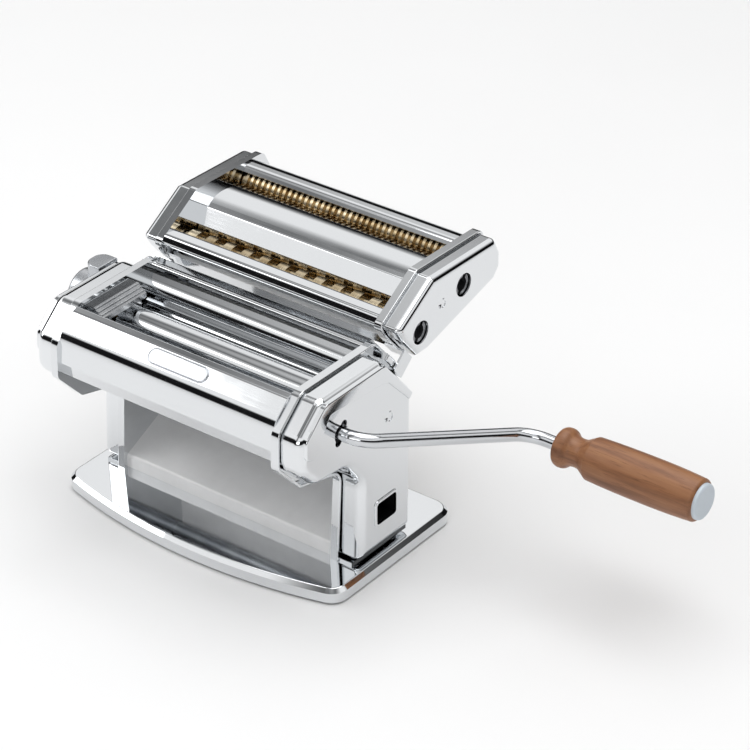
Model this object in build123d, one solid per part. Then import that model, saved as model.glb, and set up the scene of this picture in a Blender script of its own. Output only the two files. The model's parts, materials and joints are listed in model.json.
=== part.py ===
from build123d import *
import math
import os

# Manual pasta roller with a clip-on noodle cutter head. Millimetres, +Z up.
# Origin: middle of the base on the resting plane. +X points to the crank side,
# +Y to the back. Outlines named *_outline are lists of (Y, Z, corner radius).

# ---------------------------------------------------------------- main sizes
SHEET = 2.0                      # frame and cutter side plates
SKIN = 1.0                       # drawn covers and bent panels
INNER = 76.0                     # inside face of both side plates, from the middle
OUTER = INNER + SHEET
FLANGE = 5.0                     # how far the plates' turned edges reach outwards
FLANGE_SKIN = 1.6
COVER_FACE = 95.0                # outside face of the drawn side covers
BAND_RISE = 1.2                  # swollen band on the covers

BASE_HALF_WIDTH = 100.0
BASE_FRONT = -47.0
BASE_BOW = 15.0                  # the front edge bows forward in its middle
BASE_REAR = 62.0
BASE_BOTTOM = 1.2
BASE_TOP = 9.6
BASE_CORNER = 11.0
BASE_EDGE = 2.4                  # sloping edge of the base's top, and the rounding above it
BASE_EDGE_ROUND = 1.0
FOOT_RADIUS = 8.0
FOOT_ROUND = 1.2
FOOT_X, FOOT_FRONT, FOOT_REAR = 84.0, -38.0, 48.0

MODULE = 1.5                     # smooth roller gears
PINION_TEETH = 12
ROLLER_TEETH = 16
ROLLER_RADIUS = 11.5
ROLLER_HALF = 74.6
JOURNAL_RADIUS = 5.0
GEAR_ADDENDUM = 1.25
GEAR_DEDENDUM = 2.25
GEAR_TOOTH = 1.9                 # tooth thickness at the pitch circle
PRESSURE_ANGLE = 20.0
CRANK_Y, CRANK_Z = -37.0, 106.0
PINION_LEAN = 0.0                # degrees, pinion to front roller
PAIR_DROP = 12.0                 # degrees, front roller to rear roller, downwards

CUTTER_MODULE = 1.0
CUTTER_TEETH = 18
CUTTER_RADIUS = 10.0
CUTTER_CORE = 7.6
CUTTER_LEAN = 13.0               # degrees, driven cutter to its partner, upwards
WIDE_Y, WIDE_Z = 38.2, 132.1     # wide (6.5 mm) driven cutter
FINE_Y, FINE_Z = 78.0, 144.1     # fine (2 mm) driven cutter
WIDE_PITCH = 13.0
FINE_PITCH = 4.0
SIDE_GAP = 0.25                  # between neighbouring discs of a pair
CUTTER_ADDENDUM = 0.75
CUTTER_DEDENDUM = 1.2
CUTTER_TOOTH = 1.35

KNOB_Y, KNOB_Z = -4.0, 105.0
RUNNING = 0.06                   # radial running clearance

ROD_RADIUS = 4.0
ARM_X, ARM_END_X = 108.5, 154.0
GRIP_Y, GRIP_Z = 56.0, 81.5
BEND_RADIUS = 17.0               # of both bends in the crank

os.makedirs("parts", exist_ok=True)


# ---------------------------------------------------------------- helpers
def save(name, *solids):
    """Write one named node; several solids become one group."""
    shape = solids[0] if len(solids) == 1 else Compound(children=list(solids))
    export_step(shape, f"parts/{name}.step")


def face_of(outline):
    """Closed outline of (y, z, radius) corners as a flat face."""
    points = [(y, z) for y, z, _ in outline]
    face = make_face(Polyline(*points, close=True))
    for y, z, radius in outline:
        if radius > 0:
            corner = face.vertices().sort_by_distance((y, z, 0))[0]
            face = fillet(corner, radius)
    return face


def along_x(face, x0, x1):
    """Extrude a (Y, Z) face from x0 to x1."""
    return extrude(Plane.YZ.offset(x0) * face, x1 - x0)


def rod(y, z, radius, x0, x1):
    """Round bar parallel to X."""
    return along_x(Pos(y, z) * Circle(radius), x0, x1)


def ring(y, z, outer, inner, x0, x1):
    """Bush or sleeve parallel to X."""
    return rod(y, z, outer, x0, x1) - rod(y, z, inner, x0 - 1, x1 + 1)


def block(x0, x1, y0, y1, z0, z1):
    """Box between two corners."""
    middle = Pos((x0 + x1) / 2, (y0 + y1) / 2, (z0 + z1) / 2)
    return middle * Box(x1 - x0, y1 - y0, z1 - z0)


def other_side(shape):
    """The same piece on the left."""
    return mirror(shape, about=Plane.YZ)


def bent_sheet(corners, thickness, x0, x1):
    """Sheet folded along an open (y, z, bend radius) line, its thickness to the line's right."""
    count = len(corners)
    normals = []
    for (ya, za, _), (yb, zb, _) in zip(corners, corners[1:]):
        length = math.hypot(yb - ya, zb - za)
        normals.append(((zb - za) / length, -(yb - ya) / length))
    near = []
    far = []
    for k, (y, z, bend) in enumerate(corners):
        ny, nz = normals[max(k - 1, 0)]
        my, mz = normals[min(k, count - 2)]
        scale = thickness / (1 + ny * my + nz * mz)
        turns_right = ny * mz - nz * my < 0
        near_radius, far_radius = bend, bend
        if bend > 0 and turns_right:
            near_radius = bend + thickness
        elif bend > 0:
            far_radius = bend + thickness
        near.append((y, z, near_radius))
        far.append((y + (ny + my) * scale, z + (nz + mz) * scale, far_radius))
    return along_x(face_of(near + far[::-1]), x0, x1)


def polar(y, z, distance, degrees):
    """Point at a distance and angle in the (Y, Z) plane."""
    angle = math.radians(degrees)
    return y + distance * math.cos(angle), z + distance * math.sin(angle)


def gear_face(teeth, module, first_tooth, addendum, dedendum, thickness):
    """Spur gear outline with involute flanks and one tooth centred at first_tooth."""
    pitch_radius = teeth * module / 2
    base_radius = pitch_radius * math.cos(math.radians(PRESSURE_ANGLE))
    root = pitch_radius - dedendum
    tip = pitch_radius + addendum

    def roll(radius):
        spread = math.acos(min(1.0, base_radius / radius))
        return math.tan(spread) - spread

    def half_angle(radius):
        return thickness / (2 * pitch_radius) + roll(pitch_radius) - roll(max(radius, base_radius))

    steps = 4
    start = max(root, base_radius)
    radii = [root] + [start + (tip - start) * k / steps for k in range(steps + 1)]
    points = []
    for tooth in range(teeth):
        middle = math.radians(first_tooth) + 2 * math.pi * tooth / teeth
        flank = [(radius, half_angle(radius)) for radius in radii]
        side = [(radius, -half) for radius, half in flank]
        side += [(radius, half) for radius, half in reversed(flank)]
        points += [(r * math.cos(middle + a), r * math.sin(middle + a)) for r, a in side]
    return make_face(Polyline(*points, close=True))


def meshing_tooth(tooth, direction, teeth, partner_teeth):
    """Tooth angle of a partner gear that lies in the given direction."""
    pitch = 360.0 / teeth
    offset_angle = (tooth - direction + pitch / 2) % pitch - pitch / 2
    gap = direction + 180.0 - offset_angle * teeth / partner_teeth
    return gap + 180.0 / partner_teeth


# ---------------------------------------------------------------- roller axes
FRONT_Y, FRONT_Z = polar(CRANK_Y, CRANK_Z, MODULE * (PINION_TEETH + ROLLER_TEETH) / 2, PINION_LEAN)
REAR_Y, REAR_Z = polar(FRONT_Y, FRONT_Z, MODULE * ROLLER_TEETH, -PAIR_DROP)
CUTTER_SPACING = CUTTER_MODULE * CUTTER_TEETH
WIDE2_Y, WIDE2_Z = polar(WIDE_Y, WIDE_Z, CUTTER_SPACING, CUTTER_LEAN)
FINE2_Y, FINE2_Z = polar(FINE_Y, FINE_Z, CUTTER_SPACING, CUTTER_LEAN)

# ---------------------------------------------------------------- base
def base_face(inset):
    """Plan of the pressed base, moved inwards by inset."""
    half = BASE_HALF_WIDTH - inset
    front = BASE_FRONT + inset
    rear = BASE_REAR - inset
    sides = Polyline((half, front), (half, rear), (-half, rear), (-half, front))
    bow = ThreePointArc((-half, front), (0, front - BASE_BOW), (half, front))
    face = make_face([sides, bow])
    return fillet(face.vertices(), BASE_CORNER - inset)


pan = extrude(Pos(0, 0, BASE_BOTTOM) * base_face(0), BASE_TOP - BASE_BOTTOM)
pan = chamfer(pan.faces().sort_by(Axis.Z)[-1].edges(), BASE_EDGE)
pan = fillet(pan.faces().sort_by(Axis.Z)[-1].edges(), BASE_EDGE_ROUND)
hollow = extrude(Pos(0, 0, BASE_BOTTOM) * base_face(SKIN), BASE_TOP - BASE_BOTTOM - SKIN)
hollow = chamfer(hollow.faces().sort_by(Axis.Z)[-1].edges(), BASE_EDGE - 0.4)
pan -= hollow
FOOT_PLACES = [(x, y) for x in (-FOOT_X, FOOT_X) for y in (FOOT_FRONT, FOOT_REAR)]
SCREW_RADIUS = 1.6
SCREW_HOLE_RADIUS = SCREW_RADIUS + 0.1
SCREW_X = 86.0
BASE_SCREWS = [(x, y) for x in (-SCREW_X, SCREW_X) for y in (-14, 20)]
for x, y in BASE_SCREWS:
    pan -= Pos(x, y, BASE_TOP) * Cylinder(SCREW_HOLE_RADIUS, 6)
save("base_pan", pan)

under = BASE_TOP - SKIN
feet = []
for x, y in FOOT_PLACES:
    foot = Pos(x, y, 0) * extrude(Circle(FOOT_RADIUS), under)
    foot = fillet(foot.faces().sort_by(Axis.Z)[0].edges(), FOOT_ROUND)
    feet.append(foot)
save("rubber_feet", *feet)

# ---------------------------------------------------------------- frame plates
FRAME_OUTLINE = [
    (-53, 134, 8), (-73, 116.6, 8), (-73.5, 95, 6), (-55, 75, 5), (-20, 66, 8),
    (-23.5, BASE_TOP, 0), (29, BASE_TOP, 0), (29.5, 113.9, 6), (12.2, 134, 5),
]
CARRIAGE_SLOT = 2.4              # travel room of the rear roller's bush, each way
BUSH_RADIUS = 8.0
TIE_RADIUS = 4.0
TIE_PLACES = [(-57, 100), (-8, 76), (21, 76), (20, 22)]
KNOB_BUSH = 6.0
AXLE_RADIUS = 4.0
NUT_RADIUS = 5.2                 # to the hexagon's corners
NUT_HEIGHT = 3.0
THREAD_END = 4.0                 # how far the tie rods' threads stand out of the plates
pair_place = Pos(REAR_Y, REAR_Z) * Rot(0, 0, -PAIR_DROP)


def flanged_plate(outline, holes):
    """Side plate with its edge turned outwards all round."""
    face = face_of(outline)
    plate = along_x(face, INNER, OUTER)
    rim = face - offset(face, amount=-FLANGE_SKIN, kind=Kind.INTERSECTION)
    plate += along_x(rim, OUTER, INNER + FLANGE)
    outer_edges = plate.faces().sort_by(Axis.X)[-1].edges()
    plate = fillet(outer_edges, 0.5)
    for hole in holes:
        plate -= hole
    return plate


def foot_flange():
    """Strip folded outwards at the bottom of a frame plate, screwed to the base."""
    return block(OUTER, 90.0, -22.0, 28.0, BASE_TOP, BASE_TOP + FLANGE_SKIN)


slot_face = pair_place * SlotOverall(2 * (BUSH_RADIUS + CARRIAGE_SLOT), 2 * BUSH_RADIUS + 0.3)
frame_holes = [rod(y, z, TIE_RADIUS - 1, INNER - 1, OUTER + 1) for y, z in TIE_PLACES]
frame_holes.append(rod(FRONT_Y, FRONT_Z, BUSH_RADIUS, INNER - 1, OUTER + 1))
frame_holes.append(along_x(slot_face, INNER - 1, OUTER + 1))
crank_pin_hole = rod(CRANK_Y, CRANK_Z, AXLE_RADIUS, INNER - 1, OUTER + 1)
for x, y in BASE_SCREWS:
    frame_holes.append(Pos(abs(x), y, BASE_TOP) * Cylinder(SCREW_HOLE_RADIUS, 6))
screw_holes = frame_holes[-len(BASE_SCREWS):]
plain_frame = flanged_plate(FRAME_OUTLINE, frame_holes) + (foot_flange() - screw_holes)
save("frame_plate_right", plain_frame - crank_pin_hole)
save("frame_plate_left", other_side(plain_frame))

# each screw is a rivet-like stud: head under the base, shank, upset end on the foot flange
HEAD_RADIUS, HEAD_HEIGHT = 3.0, 1.4
UPSET_RADIUS, UPSET_HEIGHT = 2.6, 0.9
screws = []
for x, y in BASE_SCREWS:
    screw = Pos(x, y, under - HEAD_HEIGHT) * extrude(Circle(HEAD_RADIUS), HEAD_HEIGHT)
    screw += Pos(x, y, under) * extrude(Circle(SCREW_RADIUS), SKIN + FLANGE_SKIN + 0.6)
    screw += Pos(x, y, BASE_TOP + FLANGE_SKIN) * extrude(Circle(UPSET_RADIUS), UPSET_HEIGHT)
    screws.append(screw)
save("base_screws", *screws)

ties = []
nuts = []
for y, z in TIE_PLACES:
    tie = rod(y, z, TIE_RADIUS, -INNER, INNER)
    tie += rod(y, z, TIE_RADIUS - 1, -OUTER - THREAD_END, OUTER + THREAD_END)
    ties.append(tie)
    for x0 in (OUTER, -OUTER - NUT_HEIGHT):
        hexagon = Pos(y, z) * RegularPolygon(NUT_RADIUS, 6) - Pos(y, z) * Circle(TIE_RADIUS - 1)
        nuts.append(along_x(hexagon, x0, x0 + NUT_HEIGHT))
save("tie_rods", *ties)
save("tie_rod_nuts", *nuts)

# ---------------------------------------------------------------- side covers
COVER_OUTLINE = [
    (-51.5, 132.2, 8), (-70.9, 115.3, 9), (-71.2, 96.2, 11), (-58, 82.5, 10), (-31, 80.5, 14),
    (-17.8, 64, 16), (-20.2, 13, 1.5), (27, 13, 1.5), (27.5, 103, 6), (1.2, 132.2, 7),
]
BAND_OUTLINE = [
    (-51.5, 130.6, 7), (-68, 115.5, 7), (-68.2, 104, 4), (-61, 101.5, 4), (-47, 122.5, 3),
    (-2, 119.6, 3), (4.5, 117.6, 3), (23.2, 98.2, 0.6), (26.0, 101.4, 0.6), (0.6, 130.6, 6),
]
WINDOW = (-6.0, 11.5, 30.0, 44.0)   # clamp window: Y and Z limits
COVER_EDGE = 5.5                 # rounding of the drawn covers' outside edge
BAND_INSET = 1.6                 # the band keeps this far inside the cover's outline
CRANK_HOLE_RADIUS = 5.6
LOBE_LENGTH, LOBE_WIDTH = 15.6, 5.2
LOBE_ANGLE = 62.0                # the crank's cross pin passes at this angle only
RIM_WIDTH, RIM_RISE = 1.6, 0.7   # raised lip around the clamp window


def soft_shell(face, face_x, edge_radius, skin):
    """Drawn shell, closed at its outside face and open towards the frame."""
    outer = along_x(face, OUTER, face_x)
    outer = fillet(outer.faces().sort_by(Axis.X)[-1].edges(), edge_radius)
    core_face = offset(face, amount=-skin, kind=Kind.INTERSECTION)
    core = along_x(core_face, OUTER - 1, face_x - skin)
    core = fillet(core.faces().sort_by(Axis.X)[-1].edges(), edge_radius - skin)
    return outer, core


def side_cover():
    """Right cover before its openings are cut."""
    outer, core = soft_shell(face_of(COVER_OUTLINE), COVER_FACE, COVER_EDGE, SKIN)
    band = along_x(face_of(BAND_OUTLINE), COVER_FACE - 4, COVER_FACE + BAND_RISE)
    band = fillet(band.faces().sort_by(Axis.X)[-1].edges(), 1.0)
    inside = offset(face_of(COVER_OUTLINE), amount=-BAND_INSET, kind=Kind.INTERSECTION)
    limit = along_x(inside, OUTER, COVER_FACE + 2 * BAND_RISE)
    return outer + (band & limit) - core


low_y, high_y, low_z, high_z = WINDOW
lobe = Pos(CRANK_Y, CRANK_Z) * Rot(0, 0, LOBE_ANGLE) * SlotOverall(LOBE_LENGTH, LOBE_WIDTH)
crank_opening = Pos(CRANK_Y, CRANK_Z) * Circle(CRANK_HOLE_RADIUS) + lobe
crank_hole = along_x(crank_opening, COVER_FACE - 5, COVER_FACE + 5)
window_cut = block(OUTER + 1, COVER_FACE + 5, low_y, high_y, low_z, high_z)
window_cut = fillet(window_cut.edges().filter_by(Axis.X), 2.0)
rim_low_y, rim_high_y = low_y - RIM_WIDTH, high_y + RIM_WIDTH
rim_low_z, rim_high_z = low_z - RIM_WIDTH, high_z + RIM_WIDTH
rim_outline = [(rim_low_y, rim_low_z, 3), (rim_low_y, rim_high_z, 3),
               (rim_high_y, rim_high_z, 3), (rim_high_y, rim_low_z, 3)]
window_rim = along_x(face_of(rim_outline), COVER_FACE - 0.5, COVER_FACE + RIM_RISE)
window_rim = fillet(window_rim.faces().sort_by(Axis.X)[-1].edges(), 0.5)
cover_right = side_cover() + window_rim - window_cut - crank_hole
save("side_cover_right", cover_right)
knob_hole = rod(KNOB_Y, KNOB_Z, KNOB_BUSH, COVER_FACE - 5, COVER_FACE + 5)
save("side_cover_left", other_side(side_cover() - knob_hole))

# clamp socket: square tube behind the window that takes the table clamp's arm
TUBE_SKIN = 1.5
tube = block(OUTER, COVER_FACE - SKIN - 0.2, low_y - TUBE_SKIN, high_y + TUBE_SKIN,
             low_z - TUBE_SKIN, high_z + TUBE_SKIN)
tube -= block(INNER, COVER_FACE, low_y, high_y, low_z, high_z)
save("clamp_socket", tube)

# ---------------------------------------------------------------- panels between the frames
panel = INNER
front_line = [
    (-54.4, 128.8, 0), (-54.4, 133.0, 0.6), (-58.5, 131.6, 3), (-70.4, 121.0, 12),
    (-71.6, 104.5, 1), (-66.6, 94.0, 1), (-62.0, 94.0, 0),
]
save("front_cover", bent_sheet(front_line, -SKIN, -panel, panel))

# blank oval badge on the flat facet between the lip and the bulge
BADGE_LENGTH, BADGE_HEIGHT, BADGE_RISE = 42.0, 10.0, 0.5
BADGE_X = 4.0
FACET_SHARE = 0.37               # how far down the facet the badge's middle lies
upper_y, upper_z, _ = front_line[2]
lower_y, lower_z, _ = front_line[3]
facet_y = upper_y + FACET_SHARE * (lower_y - upper_y)
facet_z = upper_z + FACET_SHARE * (lower_z - upper_z)
facet_normal = (0, lower_z - upper_z, upper_y - lower_y)
badge_plane = Plane(origin=(BADGE_X, facet_y, facet_z), x_dir=(1, 0, 0), z_dir=facet_normal)
badge = extrude(badge_plane * SlotOverall(BADGE_LENGTH, BADGE_HEIGHT), BADGE_RISE)
badge = fillet(badge.faces().sort_by(Axis((0, 0, 0), facet_normal))[-1].edges(), 0.2)
save("front_badge", badge)

rear_line = [(15.2, 127.2, 0), (26.4, 112.2, 2), (26.4, 28.6, 0)]
save("rear_cover", bent_sheet(rear_line, SKIN, -panel, panel))

chute_line = [(-20.6, BASE_TOP, 0), (-20.6, 17.4, 1.4), (19.5, 36.0, 1.4), (19.5, 41.0, 0)]
save("delivery_chute", bent_sheet(chute_line, SKIN, -panel, panel))

feed_line = [(-3.5, 115.4, 0), (-2.2, 124.6, 9), (5.0, 128.6, 0)]
save("rear_feed_plate", bent_sheet(feed_line, SKIN, -panel, panel))

top_line = [(6.6, 129.2, 0), (6.6, 133.2, 0.8), (15.6, 133.2, 0.8), (18.0, 129.6, 0)]
save("rear_top_plate", bent_sheet(top_line, SKIN, -panel, panel))

# dough guides keep the sheet off the roller ends
GUIDE_FRONT, GUIDE_REAR = -45.0, -8.0
GUIDE_TOP = 128.4
GUIDE_SLOPE = 0.738              # fall of the guide's slope per millimetre of X
guide_profile = [(-panel, GUIDE_TOP), (-73.0, GUIDE_TOP), (-66.5, 123.6), (-66.5, 120.6),
                 (-67.5, 120.6), (-67.5, 123.1), (-73.3, GUIDE_TOP - SKIN), (-panel, GUIDE_TOP - SKIN)]
guide_face = make_face(Polyline(*guide_profile, close=True))
guide = extrude(Plane.XZ.offset(-GUIDE_REAR) * guide_face, GUIDE_REAR - GUIDE_FRONT)
RIB_RADIUS = 0.6
for k in range(3):
    rib_x = -72.0 + 2.0 * k
    rib_z = GUIDE_TOP - (rib_x + 73.0) * GUIDE_SLOPE
    rib = Pos(rib_x, (GUIDE_FRONT + GUIDE_REAR) / 2, rib_z) * Rot(90, 0, 0)
    guide += rib * Cylinder(RIB_RADIUS, GUIDE_REAR - GUIDE_FRONT)
save("dough_guides", guide, other_side(guide))


# blades that strip dough from the rollers, their edges just clear of the surface; the rear
# one leaves room for the roller's travel and rests on a tie rod
FRONT_BLADE_GAP, REAR_BLADE_GAP = 0.35, 1.3
FRONT_BLADE_LENGTH = 12.0
FRONT_BLADE_ANGLE, REAR_BLADE_ANGLE = 233, 290
front_edge = ROLLER_RADIUS + FRONT_BLADE_GAP
front_blade = [polar(FRONT_Y, FRONT_Z, front_edge, FRONT_BLADE_ANGLE) + (0,),
               polar(FRONT_Y, FRONT_Z, front_edge + FRONT_BLADE_LENGTH, FRONT_BLADE_ANGLE) + (0,)]
tie_y, tie_z = TIE_PLACES[2]
rear_blade = [polar(REAR_Y, REAR_Z, ROLLER_RADIUS + REAR_BLADE_GAP, REAR_BLADE_ANGLE) + (0,),
              polar(tie_y, tie_z, TIE_RADIUS, 150) + (0,)]
save("roller_scrapers", bent_sheet(front_blade, SKIN, -panel, panel),
     bent_sheet(rear_blade, SKIN, -ROLLER_HALF, ROLLER_HALF))

# ---------------------------------------------------------------- bushes and pins in the frame
front_bushes = []
for x0, x1 in ((INNER - 1.0, OUTER + 0.8), (-OUTER - 0.8, -INNER + 1.0)):
    front_bushes.append(ring(FRONT_Y, FRONT_Z, BUSH_RADIUS, JOURNAL_RADIUS + RUNNING, x0, x1))
save("front_roller_bushes", *front_bushes)

axle = rod(CRANK_Y, CRANK_Z, AXLE_RADIUS, INNER, OUTER + 5.8)
axle += rod(CRANK_Y, CRANK_Z, AXLE_RADIUS + 2, INNER - 1.5, INNER)
save("pinion_axle", axle)

# ---------------------------------------------------------------- front roller
GEAR_X0, GEAR_X1 = 79.4, 85.4
JOURNAL_END = 81.0               # left end of every journal
CLIP_X = 80.6
CLIP = 1.0
CLIP_RIM = 2.0
front_tooth = -PAIR_DROP         # a tooth of the front gear points at the rear roller


def roller_gear(y, z, tooth):
    """Gear with a plain bore that is pressed on a roller's journal."""
    face = gear_face(ROLLER_TEETH, MODULE, tooth, GEAR_ADDENDUM, GEAR_DEDENDUM, GEAR_TOOTH)
    return along_x(Pos(y, z) * face, GEAR_X0, GEAR_X1) - rod(y, z, JOURNAL_RADIUS, GEAR_X0, GEAR_X1)


def smooth_roller(y, z):
    """Ground roller with a journal at each end."""
    barrel = rod(y, z, ROLLER_RADIUS, -ROLLER_HALF, ROLLER_HALF)
    barrel = chamfer(barrel.edges().filter_by(GeomType.CIRCLE), 0.5)
    return barrel + rod(y, z, JOURNAL_RADIUS, -JOURNAL_END, GEAR_X1 + CLIP + 0.6)


def clips(y, z):
    """Snap rings on both journal ends."""
    rim = JOURNAL_RADIUS + CLIP_RIM
    right = ring(y, z, rim, JOURNAL_RADIUS, GEAR_X1, GEAR_X1 + CLIP)
    left = ring(y, z, rim, JOURNAL_RADIUS, -CLIP_X, -CLIP_X + CLIP)
    return right, left


save("front_roller", smooth_roller(FRONT_Y, FRONT_Z))
save("front_roller_gear", roller_gear(FRONT_Y, FRONT_Z, front_tooth))
save("front_roller_clips", *clips(FRONT_Y, FRONT_Z))

# ---------------------------------------------------------------- rear roller in its carriage
rear_tooth = meshing_tooth(front_tooth, -PAIR_DROP, ROLLER_TEETH, ROLLER_TEETH)
save("rear_roller", smooth_roller(REAR_Y, REAR_Z))
save("rear_roller_gear", roller_gear(REAR_Y, REAR_Z, rear_tooth))
save("rear_roller_clips", *clips(REAR_Y, REAR_Z))

rear_bushes = []
for x0, x1 in ((INNER - 1.0, OUTER + 0.8), (-79.2, -INNER + 1.0)):
    rear_bushes.append(ring(REAR_Y, REAR_Z, BUSH_RADIUS, JOURNAL_RADIUS + RUNNING, x0, x1))
save("rear_roller_bushes", *rear_bushes)

# the yoke joins both bushes with a bar under the roller, so both ends move alike
ARM_X0, ARM_X1 = INNER - 1.0, INNER - 0.3
YOKE_Y, YOKE_Z = 18.5, 87.0
YOKE_BAR_RADIUS = 3.0
YOKE_EYE_RADIUS = 4.5
yoke = rod(YOKE_Y, YOKE_Z, YOKE_BAR_RADIUS, -ARM_X1, ARM_X1)
for x0, x1 in ((ARM_X0, ARM_X1), (-ARM_X1, -ARM_X0)):
    arm = Pos(REAR_Y, REAR_Z) * Circle(BUSH_RADIUS + 1.8)
    arm += Pos(YOKE_Y, YOKE_Z) * Circle(YOKE_EYE_RADIUS)
    web = [(REAR_Y - 6, REAR_Z, 0), (REAR_Y + 8, REAR_Z, 0), (YOKE_Y + 4.3, YOKE_Z, 0),
           (YOKE_Y - 4.3, YOKE_Z, 0)]
    arm += face_of(web)
    arm -= Pos(REAR_Y, REAR_Z) * Circle(BUSH_RADIUS + 0.05)
    yoke += along_x(arm, x0, x1)
save("gap_yoke", yoke)

# ---------------------------------------------------------------- crank pinion
SOCKET_RADIUS = 4.2
SOCKET_FLOOR = 84.6
SOCKET_END = 93.4
SOCKET_WALL = 6.6                # outside radius of the pinion's sleeve
SLOT_X = 88.6                    # where the sleeve's cross slot starts
SLOT_WIDTH = 3.2
SLOT_ANGLE = LOBE_ANGLE          # cross pin and its slots
pinion_tooth = meshing_tooth(front_tooth, 180.0 + PINION_LEAN, ROLLER_TEETH, PINION_TEETH)


def crank_socket(y, z, core, x_gear, x_slot, x_end, wall):
    """Sleeve with a round bore and a cross slot at its mouth."""
    sleeve = rod(y, z, wall, x_gear, x_end)
    sleeve -= rod(y, z, core, x_gear + 0.4, x_end + 1)
    cross = Pos(y, z) * Rot(0, 0, SLOT_ANGLE) * Rectangle(2 * wall + 2, PIN_SLOT_WIDTH)
    return sleeve - along_x(cross, x_slot, x_end + 1)


pinion_face = gear_face(PINION_TEETH, MODULE, pinion_tooth, GEAR_ADDENDUM, GEAR_DEDENDUM, GEAR_TOOTH)
pinion = along_x(Pos(CRANK_Y, CRANK_Z) * pinion_face, GEAR_X0, GEAR_X1)
pinion += rod(CRANK_Y, CRANK_Z, SOCKET_WALL, GEAR_X1, SOCKET_END)
pinion -= rod(CRANK_Y, CRANK_Z, AXLE_RADIUS + RUNNING, GEAR_X0 - 1, SOCKET_FLOOR)
pinion -= rod(CRANK_Y, CRANK_Z, SOCKET_RADIUS, SOCKET_FLOOR, SOCKET_END + 1)
slot_cut = Pos(CRANK_Y, CRANK_Z) * Rot(0, 0, SLOT_ANGLE) * Rectangle(20, SLOT_WIDTH)
pinion -= along_x(slot_cut, SLOT_X, SOCKET_END + 1)
save("crank_pinion", pinion)

# ---------------------------------------------------------------- crank
ROD_START, ROD_END = 86.0, 257.0
PIN_X = 90.6
PIN_RADIUS, PIN_LENGTH = 1.3, 12.6
crank_path = FilletPolyline((ROD_START, CRANK_Y, CRANK_Z), (ARM_X, CRANK_Y, CRANK_Z),
                            (ARM_END_X, GRIP_Y, GRIP_Z), (ROD_END, GRIP_Y, GRIP_Z),
                            radius=BEND_RADIUS)
rod_start = Plane((ROD_START, CRANK_Y, CRANK_Z), x_dir=(0, 1, 0), z_dir=(1, 0, 0))
crank = sweep(rod_start * Circle(ROD_RADIUS), path=crank_path)
pin_place = Pos(PIN_X, CRANK_Y, CRANK_Z) * Rot(SLOT_ANGLE, 0, 0) * Rot(90, 0, 0)
save("crank_rod", crank - pin_place * Cylinder(PIN_RADIUS, 20))
save("crank_cross_pin", pin_place * Cylinder(PIN_RADIUS, PIN_LENGTH))

# ---------------------------------------------------------------- turned wooden grip
# points are (X, radius); the bead and neck come first, then the barrel and its closed end
GRIP_BORE = ROD_RADIUS + 0.1
GRIP_X0, GRIP_X1 = 174.0, 264.0
POCKET_RADIUS, POCKET_X = 8.6, 254.8   # recess that hides the rod's end
bead = Spline((GRIP_X0, 8.6), (174.4, 10.4), (177.5, 11.5), (180.5, 10.8), (182.5, 9.2),
              (185.0, 8.4), (190.0, 8.9))
shoulder = Polyline((190.0, 8.9), (196.0, 12.5))
barrel_curve = Spline((196.0, 12.5), (206, 12.9), (225, 13.2), (248, 13.0), (261.5, 12.3))
end_round = ThreePointArc((261.5, 12.3), (263.3, 11.8), (GRIP_X1, 10.6))
inside = Polyline((GRIP_X1, 10.6), (GRIP_X1, POCKET_RADIUS), (POCKET_X, POCKET_RADIUS),
                  (POCKET_X, GRIP_BORE), (GRIP_X0, GRIP_BORE), (GRIP_X0, 8.6))
grip_face = make_face([bead, shoulder, barrel_curve, end_round, inside])
grip = Pos(0, GRIP_Y, GRIP_Z) * revolve(grip_face, Axis.X, 360)
save("crank_grip", grip)
CAP_PLUG_X, CAP_PLUG_RADIUS = 260.5, 8.5
CAP_HEAD_RADIUS, CAP_HEAD_END = 10.4, 266.6
cap = rod(GRIP_Y, GRIP_Z, CAP_PLUG_RADIUS, CAP_PLUG_X, GRIP_X1)
cap += rod(GRIP_Y, GRIP_Z, CAP_HEAD_RADIUS, GRIP_X1, CAP_HEAD_END)
cap = fillet(cap.faces().sort_by(Axis.X)[-1].edges(), 1.6)
save("grip_end_cap", cap)

# ---------------------------------------------------------------- thickness adjuster
SPINDLE = 2.4
SPINDLE_START, SPINDLE_HEAD_X, SPINDLE_END = 79.2, 117.0, 118.6
SPINDLE_HEAD_RADIUS = 5.4
spindle = rod(KNOB_Y, KNOB_Z, SPINDLE, SPINDLE_START, SPINDLE_HEAD_X)
spindle += rod(KNOB_Y, KNOB_Z, SPINDLE_HEAD_RADIUS, SPINDLE_HEAD_X, SPINDLE_END)
save("knob_spindle", other_side(spindle))
CAM_THROW, CAM_ANGLE, CAM_RADIUS = 0.9, 85.7, 3.6
cam_y, cam_z = polar(KNOB_Y, KNOB_Z, CAM_THROW, CAM_ANGLE)
cam = rod(cam_y, cam_z, CAM_RADIUS, 79.4, 81.6) - rod(KNOB_Y, KNOB_Z, SPINDLE, 79, 82)
save("adjuster_cam", other_side(cam))
BEARING_START, BEARING_END, BEARING_COLLAR = 91.0, 97.2, 8.5
knob_bore = SPINDLE + RUNNING
bearing = ring(KNOB_Y, KNOB_Z, KNOB_BUSH - 0.05, knob_bore, BEARING_START, BEARING_END)
bearing += ring(KNOB_Y, KNOB_Z, BEARING_COLLAR, knob_bore, COVER_FACE, BEARING_END)
save("knob_bearing", other_side(bearing))

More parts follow.
